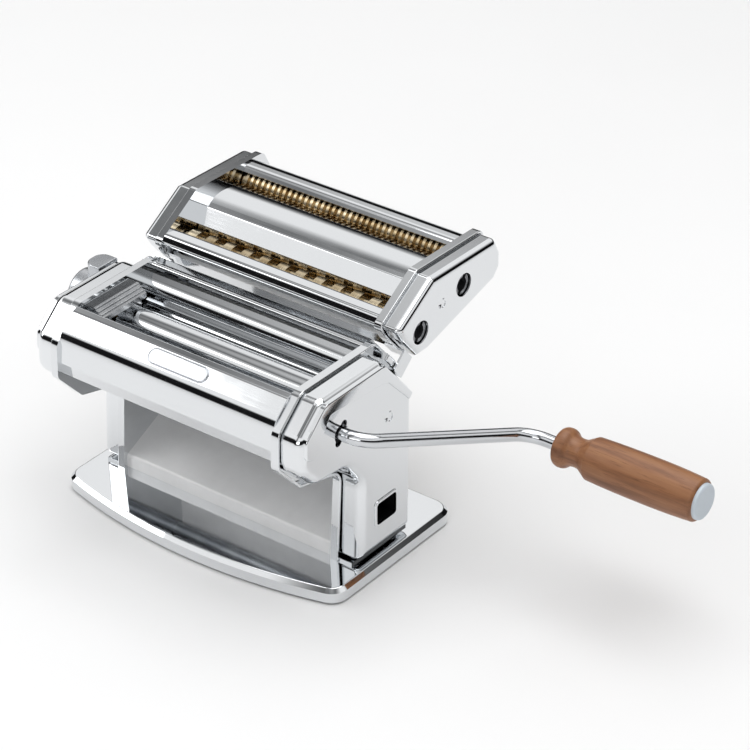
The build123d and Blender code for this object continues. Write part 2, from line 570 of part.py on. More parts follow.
KNOB_BACK, BAR_FACE, KNOB_FRONT = 98.6, 110.6, 119.6
BAR_HALF, BAR_LENGTH = 8.0, 25.0   # half the bar's width, and its reach each way
DIAL_RADIUS = 15.0
SPRING_POCKET_RADIUS, SPRING_POCKET_X = 6.4, 104.0
DETENT = 3.6
bar = block(KNOB_BACK, BAR_FACE, KNOB_Y - BAR_HALF, KNOB_Y + BAR_HALF,
            KNOB_Z - BAR_LENGTH, KNOB_Z + BAR_LENGTH)
bar = fillet(bar.faces().sort_by(Axis.X)[-1].edges().filter_by(Axis.Z), 6.5)
bar = fillet(bar.edges().filter_by(GeomType.LINE).filter_by(Axis.Y), 0.8)
dial = rod(KNOB_Y, KNOB_Z, DIAL_RADIUS, BAR_FACE - 1.5, KNOB_FRONT)
dial = fillet(dial.faces().sort_by(Axis.X)[-1].edges(), 2.5)
knob = bar + dial
knob -= rod(KNOB_Y, KNOB_Z, knob_bore, KNOB_BACK - 1, KNOB_FRONT + 1)
knob -= rod(KNOB_Y, KNOB_Z, SPRING_POCKET_RADIUS, SPRING_POCKET_X, KNOB_FRONT + 1)
detent = Pos(KNOB_Y - 11.0, KNOB_Z + 5.5) * Rectangle(DETENT, DETENT)
knob -= along_x(detent, BAR_FACE - 3, BAR_FACE + 3)
save("thickness_knob", other_side(knob))
save("knob_index_pin", other_side(rod(KNOB_Y, KNOB_Z - 14.0, 1.5, 97.0, KNOB_BACK)))
SPRING_X, SPRING_LENGTH, SPRING_PITCH = 111.2, 5.2, 1.3
SPRING_RADIUS, WIRE_RADIUS = 4.5, 0.55
coil = Helix(pitch=SPRING_PITCH, height=SPRING_LENGTH, radius=SPRING_RADIUS)
spring_path = Pos(SPRING_X, KNOB_Y, KNOB_Z) * Rot(0, 90, 0) * coil
spring_start = Plane(spring_path @ 0, z_dir=spring_path % 0)
spring = sweep(spring_start * Circle(WIRE_RADIUS), path=spring_path)
save("knob_spring", other_side(spring))

# ---------------------------------------------------------------- slide rails for the cutter head
SLOPE = math.degrees(math.atan2(-36.0, 31.0))
SLOPE_ORIGIN = (0.0, 135.0)


def on_slope(t, n):
    """Point t along and n above the covers' rear slope."""
    a = math.radians(SLOPE)
    y = SLOPE_ORIGIN[0] + t * math.cos(a) - n * math.sin(a)
    z = SLOPE_ORIGIN[1] + t * math.sin(a) + n * math.cos(a)
    return y, z


def slope_block(t0, t1, n0, n1, x0, x1):
    """Box that lies along the rear slope."""
    corners = [on_slope(t, n) + (0,) for t, n in ((t0, n0), (t1, n0), (t1, n1), (t0, n1))]
    return along_x(face_of(corners), x0, x1)


RAIL_OUT = 88.5
rail = slope_block(14, 33, 2.6, 6.6, OUTER, RAIL_OUT)
rail = fillet(rail.faces().sort_by(Axis.X)[-1].edges(), 1.2)
save("slide_rail_right", rail)
save("slide_rail_left", other_side(rail))

# ---------------------------------------------------------------- cutter head
CUTTER_OUTLINE = [
    (21.6, 131.8, 2), (15.4, 141.6, 4), (49, 162.4, 5), (110, 161.4, 5), (116, 150, 4),
    (116, 139.5, 4), (109.4, 132, 4), (46, 115.6, 5), (35.4, 115.6, 2),
]
CAP_INSET = 1.9
CAP_SKIN = 0.8
CAP_FACE = 92.0
CUTTER_AXES = [(WIDE_Y, WIDE_Z), (WIDE2_Y, WIDE2_Z), (FINE_Y, FINE_Z), (FINE2_Y, FINE2_Z)]
CUTTER_TIES = [(25.2, 139.5), (104.6, 138.2), (68.5, 129.5)]
CUTTER_JOURNAL = 4.0
CUTTER_BUSH = 6.0
CAP_EDGE = 4.0                   # rounding of the caps' outside edge
CAP_HOLE_RADIUS = 7.0            # lets the crank reach a cutter's socket
CUTTER_TIE_RADIUS, CUTTER_TIE_END = 2.8, 2.0
cutter_holes = [rod(y, z, CUTTER_BUSH, INNER - 1, OUTER + 1) for y, z in CUTTER_AXES]
cutter_holes += [rod(y, z, CUTTER_TIE_END, INNER - 1, OUTER + 1) for y, z in CUTTER_TIES]
cutter_plate = flanged_plate(CUTTER_OUTLINE, cutter_holes)
save("cutter_plate_right", cutter_plate)
save("cutter_plate_left", other_side(cutter_plate))

cap_face = offset(face_of(CUTTER_OUTLINE), amount=-CAP_INSET, kind=Kind.INTERSECTION)
cap_outer, cap_core = soft_shell(cap_face, CAP_FACE, CAP_EDGE, CAP_SKIN)
plain_cap = cap_outer - cap_core
wide_hole = rod(WIDE_Y, WIDE_Z, CAP_HOLE_RADIUS, CAP_FACE - 5, CAP_FACE + 5)
fine_hole = rod(FINE_Y, FINE_Z, CAP_HOLE_RADIUS, CAP_FACE - 5, CAP_FACE + 5)
save("cutter_cap_right", plain_cap - wide_hole - fine_hole)
save("cutter_cap_left", other_side(plain_cap))

nose_line = [
    (27.6, 123.6, 0), (20.6, 134.2, 2), (18.0, 140.6, 2), (20.0, 145.4, 2.2), (28.0, 146.8, 2),
    (29.8, 142.4, 0),
]
save("cutter_front_cover", bent_sheet(nose_line, SKIN, -panel, panel))
middle_line = [
    (43.8, 144.1, 0), (50.6, 152.8, 1.2), (63.0, 157.2, 45), (74.8, 156.4, 0.4), (75.8, 155.4, 0),
]
save("cutter_middle_cover", bent_sheet(middle_line, SKIN, -panel, panel))
tail_line = [(88.9, 158.2, 0), (92.2, 160.6, 5), (109.4, 160.6, 11), (109.4, 142.6, 0)]
save("cutter_rear_cover", bent_sheet(tail_line, SKIN, -panel, panel))

cutter_ties = []
for y, z in CUTTER_TIES:
    tie = rod(y, z, CUTTER_TIE_RADIUS, -INNER, INNER)
    tie += rod(y, z, CUTTER_TIE_END, -OUTER - 1.6, OUTER + 1.6)
    cutter_ties.append(tie)
save("cutter_tie_rods", *cutter_ties)

bushes = []
for y, z in CUTTER_AXES:
    for x0, x1 in ((INNER - 0.6, OUTER + 0.8), (-OUTER - 0.8, -INNER + 0.6)):
        bushes.append(ring(y, z, CUTTER_BUSH, CUTTER_JOURNAL + RUNNING, x0, x1))
save("cutter_bushes", *bushes)


def stripper(y0, z0, y1, z1):
    """Plate under a cutter pair that peels the noodles off."""
    return bent_sheet([(y0, z0, 0), (y1, z1, 0)], SKIN, -panel, panel)


save("noodle_strippers", stripper(52.0, 124.4, 60.5, 125.4), stripper(91.6, 136.6, 101.0, 138.0))

# each hook is a channel that reaches around a rail: outside wall, lip under it, web above it
HOOK_WALL = 1.2
HOOK_T0, HOOK_T1 = 24.0, 34.0
HOOK_LOW, HOOK_HIGH = 1.0, 14.0
HOOK_X = RAIL_OUT + 0.5
LIP_REACH = 3.5
hook = slope_block(HOOK_T0, HOOK_T1, HOOK_LOW, HOOK_HIGH, HOOK_X, HOOK_X + HOOK_WALL)
hook += slope_block(HOOK_T0, HOOK_T1, HOOK_LOW, HOOK_LOW + HOOK_WALL, HOOK_X - LIP_REACH, HOOK_X)
hook += slope_block(HOOK_T0, HOOK_T1, HOOK_HIGH - HOOK_WALL, HOOK_HIGH, INNER + 0.5, HOOK_X)
save("cutter_hooks", hook, other_side(hook))


# ---------------------------------------------------------------- cutting rollers
DISC_REACH = 74.0                # the discs fill the rollers this far each way
CUT_GEAR_X0, CUT_GEAR_X1 = 79.2, 83.8
CUT_SLOT_X, CUT_SOCKET_END = 87.6, 90.6
CUT_SOCKET_WALL = 6.2
PIN_SLOT_WIDTH = 2.8


def disc_edges(pitch, starts_low):
    """Stretches of X taken by one roller's discs; its partner has the others."""
    width = pitch / 2 - SIDE_GAP
    count = int(2 * DISC_REACH / pitch)
    first = -count * pitch / 2
    shift = SIDE_GAP / 2 if starts_low else pitch / 2 + SIDE_GAP / 2
    return [(first + shift + k * pitch, first + shift + k * pitch + width) for k in range(count)]


def cutting_roller(y, z, pitch, starts_low, x_end):
    """Grooved roller turned from one bar, with its journals."""
    core_end = INNER - 0.9
    profile = [(-JOURNAL_END, 0), (-JOURNAL_END, CUTTER_JOURNAL), (-core_end, CUTTER_JOURNAL),
               (-core_end, CUTTER_CORE)]
    for x0, x1 in disc_edges(pitch, starts_low):
        profile += [(x0, CUTTER_CORE), (x0, CUTTER_RADIUS), (x1, CUTTER_RADIUS), (x1, CUTTER_CORE)]
    profile += [(core_end, CUTTER_CORE), (core_end, CUTTER_JOURNAL), (x_end, CUTTER_JOURNAL),
                (x_end, 0)]
    body = revolve(make_face(Polyline(*profile, close=True)), Axis.X, 360)
    return Pos(0, y, z) * body


def cutter_gear(y, z, tooth):
    """Gear pressed on a cutting roller's journal."""
    face = gear_face(CUTTER_TEETH, CUTTER_MODULE, tooth, CUTTER_ADDENDUM, CUTTER_DEDENDUM, CUTTER_TOOTH)
    bore = rod(y, z, CUTTER_JOURNAL, CUT_GEAR_X0 - 1, CUT_GEAR_X1 + 1)
    return along_x(Pos(y, z) * face, CUT_GEAR_X0, CUT_GEAR_X1) - bore


pairs = (("wide", WIDE_PITCH, CUTTER_AXES[0], CUTTER_AXES[1]),
         ("fine", FINE_PITCH, CUTTER_AXES[2], CUTTER_AXES[3]))
for name, pitch, driven, partner in pairs:
    tooth = meshing_tooth(0.0, CUTTER_LEAN, CUTTER_TEETH, CUTTER_TEETH)
    save(f"{name}_driven_cutter", cutting_roller(*driven, pitch, True, CUT_GEAR_X1))
    save(f"{name}_partner_cutter", cutting_roller(*partner, pitch, False, CUT_GEAR_X1))
    gear = cutter_gear(*driven, 0.0)
    gear += crank_socket(*driven, SOCKET_RADIUS, CUT_GEAR_X1, CUT_SLOT_X, CUT_SOCKET_END, CUT_SOCKET_WALL)
    save(f"{name}_driven_gear", gear)
    save(f"{name}_partner_gear", cutter_gear(*partner, tooth))
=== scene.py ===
"""Looks of a chromed, hand-cranked pasta roller with a slide-on noodle cutter head.

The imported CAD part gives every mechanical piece. This script dresses those pieces with procedural
finishes, adds the small pieces that only matter to the eye, and lights a plain studio.
"""

from __future__ import annotations

import json
import logging
import math
from abc import ABC, abstractmethod
from dataclasses import dataclass
from enum import Enum
from typing import Any, Callable

import bmesh
import bpy
from mathutils import Matrix, Vector

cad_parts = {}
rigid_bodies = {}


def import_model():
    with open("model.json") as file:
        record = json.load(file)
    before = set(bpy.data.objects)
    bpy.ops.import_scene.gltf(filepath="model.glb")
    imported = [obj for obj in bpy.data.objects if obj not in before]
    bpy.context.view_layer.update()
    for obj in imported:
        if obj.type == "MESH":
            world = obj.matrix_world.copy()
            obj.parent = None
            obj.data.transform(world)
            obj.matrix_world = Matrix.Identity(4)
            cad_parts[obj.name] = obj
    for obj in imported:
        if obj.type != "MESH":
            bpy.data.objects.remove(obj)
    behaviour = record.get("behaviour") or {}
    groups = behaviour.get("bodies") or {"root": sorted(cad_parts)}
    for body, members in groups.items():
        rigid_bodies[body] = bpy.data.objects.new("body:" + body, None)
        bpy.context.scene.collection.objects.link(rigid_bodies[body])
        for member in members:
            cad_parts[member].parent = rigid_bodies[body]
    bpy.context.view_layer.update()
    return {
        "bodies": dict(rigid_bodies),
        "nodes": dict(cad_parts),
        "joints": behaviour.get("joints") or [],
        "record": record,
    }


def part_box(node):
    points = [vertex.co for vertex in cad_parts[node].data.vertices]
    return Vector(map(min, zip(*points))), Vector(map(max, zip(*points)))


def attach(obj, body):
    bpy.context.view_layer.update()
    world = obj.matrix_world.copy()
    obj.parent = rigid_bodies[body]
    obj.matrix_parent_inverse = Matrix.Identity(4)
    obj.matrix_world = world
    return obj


LOG = logging.getLogger("pasta_roller")
MM = 0.001
WELD = 0.00001  # metres; points closer than this are one point

Colour = tuple[float, float, float, float]
Stops = list[tuple[float, str]]


# ------------------------------------------------------------------ node helpers
def linear(hex_code: str) -> Colour:
    """Turn an sRGB hex colour into linear RGBA.

    Args:
        hex_code: Colour such as "#C8905F".

    Returns:
        Linear red, green, blue and an alpha of one.
    """
    channels = [int(hex_code[k : k + 2], 16) / 255 for k in (1, 3, 5)]
    bent = [c / 12.92 if c <= 0.04045 else ((c + 0.055) / 1.055) ** 2.4 for c in channels]
    return bent[0], bent[1], bent[2], 1.0


def add_node(
    tree: bpy.types.NodeTree,
    kind: str,
    settings: dict[Any, Any] | None = None,
    links: dict[Any, bpy.types.NodeSocket] | None = None,
) -> bpy.types.Node:
    """Add one shader node, set it up and link its inputs.

    Args:
        tree: Node tree that receives the node.
        kind: Node type name.
        settings: Attribute names, input names or input numbers, with their values.
        links: Input names or numbers, with the output sockets that feed them.

    Returns:
        The new node.
    """
    node = tree.nodes.new(kind)
    for key, value in (settings or {}).items():
        if isinstance(key, int) or key in node.inputs:
            node.inputs[key].default_value = value
        else:
            setattr(node, key, value)
    for key, source in (links or {}).items():
        tree.links.new(source, node.inputs[key])
    return node


def colour_ramp(
    tree: bpy.types.NodeTree, source: bpy.types.NodeSocket, stops: Stops
) -> bpy.types.NodeSocket:
    """Add a colour ramp.

    Args:
        tree: Node tree that receives the ramp.
        source: Value from 0 to 1 that picks the colour.
        stops: Places from 0 to 1 and their sRGB hex colours, in rising order.

    Returns:
        The ramp's colour output.
    """
    node = add_node(tree, "ShaderNodeValToRGB", links={"Fac": source})
    band = node.color_ramp
    while len(band.elements) < len(stops):
        band.elements.new(0.5)
    for element, (place, colour) in zip(band.elements, stops):
        element.position = place
        element.color = linear(colour)
    return node.outputs["Color"]


def map_range(
    tree: bpy.types.NodeTree,
    source: bpy.types.NodeSocket,
    span: tuple[float, float],
    target: tuple[float, float],
) -> bpy.types.NodeSocket:
    """Stretch one span of a value to another, and hold the ends.

    Args:
        tree: Node tree that receives the node.
        source: Value to stretch.
        span: Its low and high ends.
        target: What they become.

    Returns:
        The stretched value.
    """
    return add_node(
        tree,
        "ShaderNodeMapRange",
        {"From Min": span[0], "From Max": span[1], "To Min": target[0], "To Max": target[1]},
        {"Value": source},
    ).outputs["Result"]


# ------------------------------------------------------------------ finishes
class Grain(Enum):
    """Direction in which a surface was drawn, ground or turned."""

    NONE = (1.0, 1.0, 1.0)
    ALONG_X = (0.02, 1.0, 1.0)
    AROUND_X = (1.0, 0.03, 0.03)


@dataclass(frozen=True)
class Finish(ABC):
    """A surface finish that can be made into a material."""

    name: str

    def build(self) -> bpy.types.Material:
        """Make the material, with a Principled shader that the finish dresses.

        Returns:
            The new material.
        """
        material = bpy.data.materials.new(self.name)
        material.use_nodes = True
        tree = material.node_tree
        shader = next(n for n in tree.nodes if n.type == "BSDF_PRINCIPLED")
        place = add_node(tree, "ShaderNodeTexCoord").outputs["Object"]
        self.dress(tree, shader, place)
        return material

    @abstractmethod
    def dress(
        self, tree: bpy.types.NodeTree, shader: bpy.types.Node, place: bpy.types.NodeSocket
    ) -> None:
        """Set the shader's sockets and link its patterns.

        Args:
            tree: The material's node tree.
            shader: Its Principled shader.
            place: Object coordinates, which are metres on the finished machine.
        """

    @staticmethod
    def noise(
        tree: bpy.types.NodeTree,
        place: bpy.types.NodeSocket,
        size_mm: float,
        grain: Grain = Grain.NONE,
        detail: float = 3.0,
    ) -> bpy.types.NodeSocket:
        """Make noise whose features have a real size.

        Args:
            tree: The material's node tree.
            place: Object coordinates.
            size_mm: Width of a feature across the grain.
            grain: Direction in which features are drawn out.
            detail: Octaves of finer noise on top.

        Returns:
            The noise value.
        """
        stretched = add_node(
            tree, "ShaderNodeMapping", {"Scale": grain.value}, {"Vector": place}
        ).outputs["Vector"]
        return add_node(
            tree,
            "ShaderNodeTexNoise",
            {"Scale": 1.0 / (size_mm * MM), "Detail": detail},
            {"Vector": stretched},
        ).outputs["Fac"]

    @staticmethod
    def bump(
        tree: bpy.types.NodeTree,
        shader: bpy.types.Node,
        height: bpy.types.NodeSocket,
        depth_mm: float,
        strength: float = 1.0,
    ) -> None:
        """Give the shader a height pattern of real depth.

        Args:
            tree: The material's node tree.
            shader: Its Principled shader.
            height: Pattern that stands for the surface's height.
            depth_mm: Depth between the pattern's 0 and 1.
            strength: Share of the effect that shows.
        """
        node = add_node(
            tree,
            "ShaderNodeBump",
            {"Strength": strength, "Distance": depth_mm * MM},
            {"Height": height},
        )
        tree.links.new(node.outputs["Normal"], shader.inputs["Normal"])


PATTERN_MIDDLE = (0.3, 0.7)  # where most of a noise's values lie


@dataclass(frozen=True)
class PolishedChrome(Finish):
    """Chrome-plated pressed steel: a mirror with faint polishing haze and orange-peel."""

    tint: str = "#E4E6E9"
    roughness: tuple[float, float] = (0.035, 0.085)
    grain: Grain = Grain.NONE
    ripple_mm: float = 0.004
    smear_mm: float = 26.0
    scratch_mm: float = 0.5
    ripple_width_mm: float = 9.0

    def dress(
        self, tree: bpy.types.NodeTree, shader: bpy.types.Node, place: bpy.types.NodeSocket
    ) -> None:
        """Haze comes from handling smears; the ripple is the pressing's own waviness."""
        shader.inputs["Base Color"].default_value = linear(self.tint)
        shader.inputs["Metallic"].default_value = 1.0
        smear = self.noise(tree, place, self.smear_mm)
        scratch = self.noise(tree, place, self.scratch_mm, self.grain)
        both = add_node(
            tree, "ShaderNodeMath", {"operation": "MULTIPLY"}, {0: smear, 1: scratch}
        ).outputs["Value"]
        product_middle = (0.15, 0.4)
        rough = map_range(tree, both, product_middle, self.roughness)
        tree.links.new(rough, shader.inputs["Roughness"])
        ripple = self.noise(tree, place, self.ripple_width_mm, detail=1.0)
        self.bump(tree, shader, ripple, self.ripple_mm)


@dataclass(frozen=True)
class WorkedSteel(Finish):
    """Ground, brushed or plated steel with marks along its grain."""

    tint: str = "#C4C5C8"
    worn_tint: str = "#A9AAAD"
    roughness: tuple[float, float] = (0.22, 0.38)
    grain: Grain = Grain.AROUND_X
    mark_mm: float = 0.4
    depth_mm: float = 0.006
    metallic: float = 1.0
    stain_mm: float = 14.0

    def dress(
        self, tree: bpy.types.NodeTree, shader: bpy.types.Node, place: bpy.types.NodeSocket
    ) -> None:
        """Grinding lines change both the gloss and the height; a metallic share below one lets the tint
        show as diffuse colour, which on the inner panel is a painted reflection of the white floor.
        """
        shader.inputs["Metallic"].default_value = self.metallic
        stain = self.noise(tree, place, self.stain_mm)
        colour = colour_ramp(tree, stain, [(0.35, self.worn_tint), (0.62, self.tint)])
        tree.links.new(colour, shader.inputs["Base Color"])
        marks = self.noise(tree, place, self.mark_mm, self.grain, 4.0)
        rough = map_range(tree, marks, PATTERN_MIDDLE, self.roughness)
        tree.links.new(rough, shader.inputs["Roughness"])
        self.bump(tree, shader, marks, self.depth_mm)


@dataclass(frozen=True)
class TurnedBeech(Finish):
    """Beech turned on a lathe and oiled: long grain, short dark flecks, soft sheen."""

    pale: str = "#A0704A"
    middle: str = "#8B5C3B"
    dark: str = "#6C442A"
    pore_tint: str = "#63391F"
    long_grain: float = 0.07
    grain_per_metre: float = 190.0
    pores_per_metre: float = 1500.0
    pore_depth_mm: float = 0.05
    pore_share: float = 0.55
    roughness: tuple[float, float] = (0.5, 0.36)

    def dress(
        self, tree: bpy.types.NodeTree, shader: bpy.types.Node, place: bpy.types.NodeSocket
    ) -> None:
        """The grain runs along the grip; the pores are short dashes in the same direction."""
        grain_place = add_node(
            tree, "ShaderNodeMapping", {"Scale": (self.long_grain, 1.0, 1.0)}, {"Vector": place}
        ).outputs["Vector"]
        years = add_node(
            tree,
            "ShaderNodeTexNoise",
            {"Scale": self.grain_per_metre, "Detail": 5.0, "Roughness": 0.6, "Distortion": 0.4},
            {"Vector": grain_place},
        ).outputs["Fac"]
        tone = colour_ramp(tree, years, [(0.3, self.dark), (0.48, self.middle), (0.7, self.pale)])
        pores = add_node(
            tree,
            "ShaderNodeTexNoise",
            {"Scale": self.pores_per_metre, "Detail": 2.0},
            {"Vector": grain_place},
        ).outputs["Fac"]
        fleck = map_range(tree, pores, (0.6, 0.72), (0.0, self.pore_share))
        # a colour mix takes its share in socket 0 and its colours in 6 and 7, and gives output 2
        mixed = add_node(
            tree,
            "ShaderNodeMix",
            {"data_type": "RGBA", 7: linear(self.pore_tint)},
            {0: fleck, 6: tone},
        ).outputs[2]
        tree.links.new(mixed, shader.inputs["Base Color"])
        gloss = map_range(tree, years, PATTERN_MIDDLE, self.roughness)
        tree.links.new(gloss, shader.inputs["Roughness"])
        self.bump(tree, shader, pores, self.pore_depth_mm, strength=0.5)


@dataclass(frozen=True)
class MouldedPolymer(Finish):
    """Moulded or turned plastic and rubber: fine texture and handling shine."""

    tint: str = "#D8DADC"
    roughness: tuple[float, float] = (0.3, 0.5)
    texture_mm: float = 0.35
    depth_mm: float = 0.01
    patch_mm: float = 8.0

    def dress(
        self, tree: bpy.types.NodeTree, shader: bpy.types.Node, place: bpy.types.NodeSocket
    ) -> None:
        """A fine spark-eroded texture with broader shiny patches."""
        shader.inputs["Base Color"].default_value = linear(self.tint)
        patches = self.noise(tree, place, self.patch_mm)
        rough = map_range(tree, patches, PATTERN_MIDDLE, self.roughness)
        tree.links.new(rough, shader.inputs["Roughness"])
        self.bump(tree, shader, self.noise(tree, place, self.texture_mm), self.depth_mm)


@dataclass(frozen=True)
class PlainFloor(Finish):
    """Pale seamless studio sweep."""

    tint: str = "#F4F4F4"
    mottle_tint: str = "#F1F1F1"
    mottle_mm: float = 300.0
    roughness: float = 0.55

    def dress(
        self, tree: bpy.types.NodeTree, shader: bpy.types.Node, place: bpy.types.NodeSocket
    ) -> None:
        """Almost even, with a trace of mottling."""
        mottle = self.noise(tree, place, self.mottle_mm)
        colour = colour_ramp(tree, mottle, [(0.2, self.mottle_tint), (0.8, self.tint)])
        tree.links.new(colour, shader.inputs["Base Color"])
        shader.inputs["Roughness"].default_value = self.roughness


FINISHES: dict[str, Finish] = {
    "base_chrome": PolishedChrome("base_chrome", "#E2E4E6", (0.03, 0.07)),
    "frame_chrome": PolishedChrome("frame_chrome", "#DFE1E3", (0.04, 0.09)),
    "cover_chrome": PolishedChrome("cover_chrome", "#E3E5E7", (0.05, 0.11), ripple_mm=0.006),
    "panel_chrome": PolishedChrome("panel_chrome", "#E1E3E5", (0.05, 0.11), Grain.ALONG_X),
    # plated steel sheet: its near-white tint at metallic 0.1 is a painted reflection of the white floor
    # that the metal mirrors, not a white paint
    "inner_panel": WorkedSteel(
        "inner_panel", "#FBFBFB", "#F4F4F4", (0.3, 0.4), Grain.ALONG_X, metallic=0.1
    ),
    "badge_chrome": PolishedChrome("badge_chrome", "#B2B5B9", (0.12, 0.2)),
    "rail_chrome": PolishedChrome("rail_chrome", "#DFE1E3", (0.05, 0.1)),
    "crank_chrome": PolishedChrome("crank_chrome", "#D0D2D5", (0.1, 0.18), Grain.ALONG_X),
    "roller_steel": PolishedChrome("roller_steel", "#DDDFE1", (0.04, 0.08), Grain.AROUND_X),
    "guide_steel": WorkedSteel("guide_steel", "#C6C8CA", "#B0B2B5", (0.14, 0.26), Grain.ALONG_X),
    "zinc_steel": WorkedSteel("zinc_steel", "#B4B8BC", "#9A9EA4", (0.25, 0.4), Grain.NONE),
    "gear_steel": WorkedSteel("gear_steel", "#8C8D90", "#6F7073", (0.3, 0.45)),
    "dark_steel": WorkedSteel("dark_steel", "#4C4D50", "#353639", (0.3, 0.5), Grain.NONE),
    "spring_steel": WorkedSteel("spring_steel", "#7E8085", "#63656A", (0.25, 0.4)),
    "bearing_bronze": WorkedSteel("bearing_bronze", "#B98F55", "#94703F", (0.3, 0.45)),
    "cutter_bronze": WorkedSteel("cutter_bronze", "#CFC0A4", "#AE9A78", (0.16, 0.3)),
    "black_rubber": MouldedPolymer("black_rubber", "#1A1A1B", (0.55, 0.75), 0.5, 0.02),
    "white_nylon": MouldedPolymer("white_nylon", "#DAD9D2", (0.35, 0.5)),
    "cap_plastic": MouldedPolymer("cap_plastic", "#C9D2DA", (0.3, 0.42)),
    "knob_satin": WorkedSteel("knob_satin", "#C4C6C9", "#B4B7BB", (0.2, 0.3), Grain.NONE, 0.8),
    "beech_wood": TurnedBeech("beech_wood"),
}


class Workshop:
    """Makes each finish once and hands it out."""

    def __init__(self) -> None:
        """Start with no materials made."""
        self._made: dict[str, bpy.types.Material] = {}

    def material(self, slot: str) -> bpy.types.Material:
        """Material of one slot, made on first use.

        Args:
            slot: Material slot of the part's record.

        Returns:
            The shared material.
        """
        if slot not in self._made:
            self._made[slot] = FINISHES[slot].build()
        return self._made[slot]

    def dress(self, piece: bpy.types.Object, slot: str) -> None:
        """Put one material on a whole piece.

        Args:
            piece: Mesh object to dress.
            slot: Material slot of the part's record.
        """
        piece.data.materials.clear()
        piece.data.materials.append(self.material(slot))
        for polygon in piece.data.polygons:
            polygon.material_index = 0


# ------------------------------------------------------------------ modelling helpers
def deselect_all() -> None:
    """Leave object mode with nothing selected."""
    if bpy.context.object and bpy.context.object.mode != "OBJECT":
        bpy.ops.object.mode_set(mode="OBJECT")
    bpy.ops.object.select_all(action="DESELECT")


def settle(piece: bpy.types.Object, name: str) -> bpy.types.Object:
    """Name a finished piece and put its place into its mesh.

    Args:
        piece: Mesh object, placed and turned.
        name: Its final name.

    Returns:
        The same object, at the origin, unturned and unscaled.
    """
    deselect_all()
    piece.select_set(True)
    bpy.context.view_layer.objects.active = piece
    bpy.ops.object.transform_apply(location=True, rotation=True, scale=True)
    piece.name = name
    piece.data.name = name
    return piece


def select_faces(piece: bpy.types.Object, wanted: Callable[[Vector, Vector], bool]) -> None:
    """Select, in edit mode, the faces that are wanted.

    Args:
        piece: Mesh object in edit mode.
        wanted: Says yes or no to a face's centre and normal.
    """
    mesh = bmesh.from_edit_mesh(piece.data)
    mesh.faces.ensure_lookup_table()
    for face in mesh.faces:
        face.select_set(wanted(face.calc_center_median(), face.normal))
    mesh.select_flush_mode()
    bmesh.update_edit_mesh(piece.data)


def smooth(piece: bpy.types.Object, degrees: float) -> None:
    """Shade smoothly except across sharp edges.

    Args:
        piece: Mesh object.
        degrees: Smallest angle that stays sharp.
    """
    deselect_all()
    piece.select_set(True)
    bpy.context.view_layer.objects.active = piece
    bpy.ops.object.shade_smooth_by_angle(angle=math.radians(degrees))


@dataclass
class TurnArrow:
    """Small raised arrow that shows which way the crank turns."""

    name: str
    face_x: float
    y: float
    z: float
    radius: float = 3.0
    width: float = 0.9
    rise: float = 0.35
    steps: int = 20
    sweep_degrees: float = 275.0
    head_flare: float = 2.6
    head_length: float = 2.4
    tip_share: float = 0.1

    def build(self) -> bpy.types.Object:
        """Spin a small rectangle around an open arc, then widen a head on its end.

        Returns:
            The arrow, standing on the cover's outside face.
        """
        deselect_all()
        start = Vector((self.face_x * MM, self.y * MM, (self.z + self.radius) * MM))
        bpy.ops.mesh.primitive_plane_add(size=1.0, location=start)
        piece = bpy.context.object
        piece.rotation_euler = (math.pi / 2, 0.0, 0.0)
        piece.scale = (self.rise * 2 * MM, self.width * MM, 1.0)
        piece = settle(piece, self.name)
        centre = (self.face_x * MM, self.y * MM, self.z * MM)
        bpy.ops.object.mode_set(mode="EDIT")
        bpy.ops.mesh.select_all(action="SELECT")
        bpy.ops.mesh.spin(
            steps=self.steps,
            angle=math.radians(self.sweep_degrees),
            center=centre,
            axis=(1.0, 0.0, 0.0),
        )
        bpy.ops.mesh.extrude_region_move(TRANSFORM_OT_translate={"value": (0.0, 0.0, 0.0)})
        mesh = bmesh.from_edit_mesh(piece.data)
        end = sum((v.co for v in mesh.verts if v.select), Vector()) / max(
            1, sum(v.select for v in mesh.verts)
        )
        bpy.ops.transform.resize(
            value=(1.0, self.head_flare, self.head_flare), center_override=end
        )
        outward = end - Vector(centre)
        along = Vector((0.0, -outward.z, outward.y)).normalized()
        tangent = along * self.width * self.head_length * MM
        bpy.ops.mesh.extrude_region_move(TRANSFORM_OT_translate={"value": tangent})
        bpy.ops.transform.resize(
            value=(1.0, self.tip_share, self.tip_share), center_override=end + tangent
        )
        bpy.ops.mesh.select_all(action="SELECT")
        bpy.ops.mesh.remove_doubles(threshold=WELD)
        bpy.ops.mesh.normals_make_consistent(inside=False)
        bpy.ops.object.mode_set(mode="OBJECT")
        smooth(piece, degrees=30.0)
        return piece


@dataclass
class OvalRim:
    """Raised bead around the blank oval badge."""

    name: str
    length: float
    height: float
    bead: float = 0.7

    def build(self, centre: Vector, normal: Vector) -> bpy.types.Object:
        """Stretch a ring into an oval with straight sides and lay it on the badge.

        Args:
            centre: Middle of the badge's outside face.
            normal: Way the badge faces.

        Returns:
            The finished bead.
        """
        deselect_all()
        bpy.ops.mesh.primitive_torus_add(
            major_segments=96,
            minor_segments=16,
            major_radius=self.height / 2 * MM,
            minor_radius=self.bead / 2 * MM,
        )
        piece = settle(bpy.context.object, self.name)
        bpy.ops.object.mode_set(mode="EDIT")
        reach = (self.length - self.height) / 2 * MM
        for side in (-1.0, 1.0):
            bpy.ops.mesh.select_all(action="DESELECT")
            select_faces(piece, lambda place, _: place.x * side > WELD)
            bpy.ops.transform.translate(value=(side * reach, 0.0, 0.0))
        bpy.ops.object.mode_set(mode="OBJECT")
        across = normal.normalized().cross(Vector((1.0, 0.0, 0.0)))
        turn = Matrix((Vector((1.0, 0.0, 0.0)), across, normal.normalized())).transposed()
        piece.matrix_world = Matrix.Translation(centre) @ turn.to_4x4()
        piece = settle(piece, self.name)
        smooth(piece, degrees=60.0)
        return piece


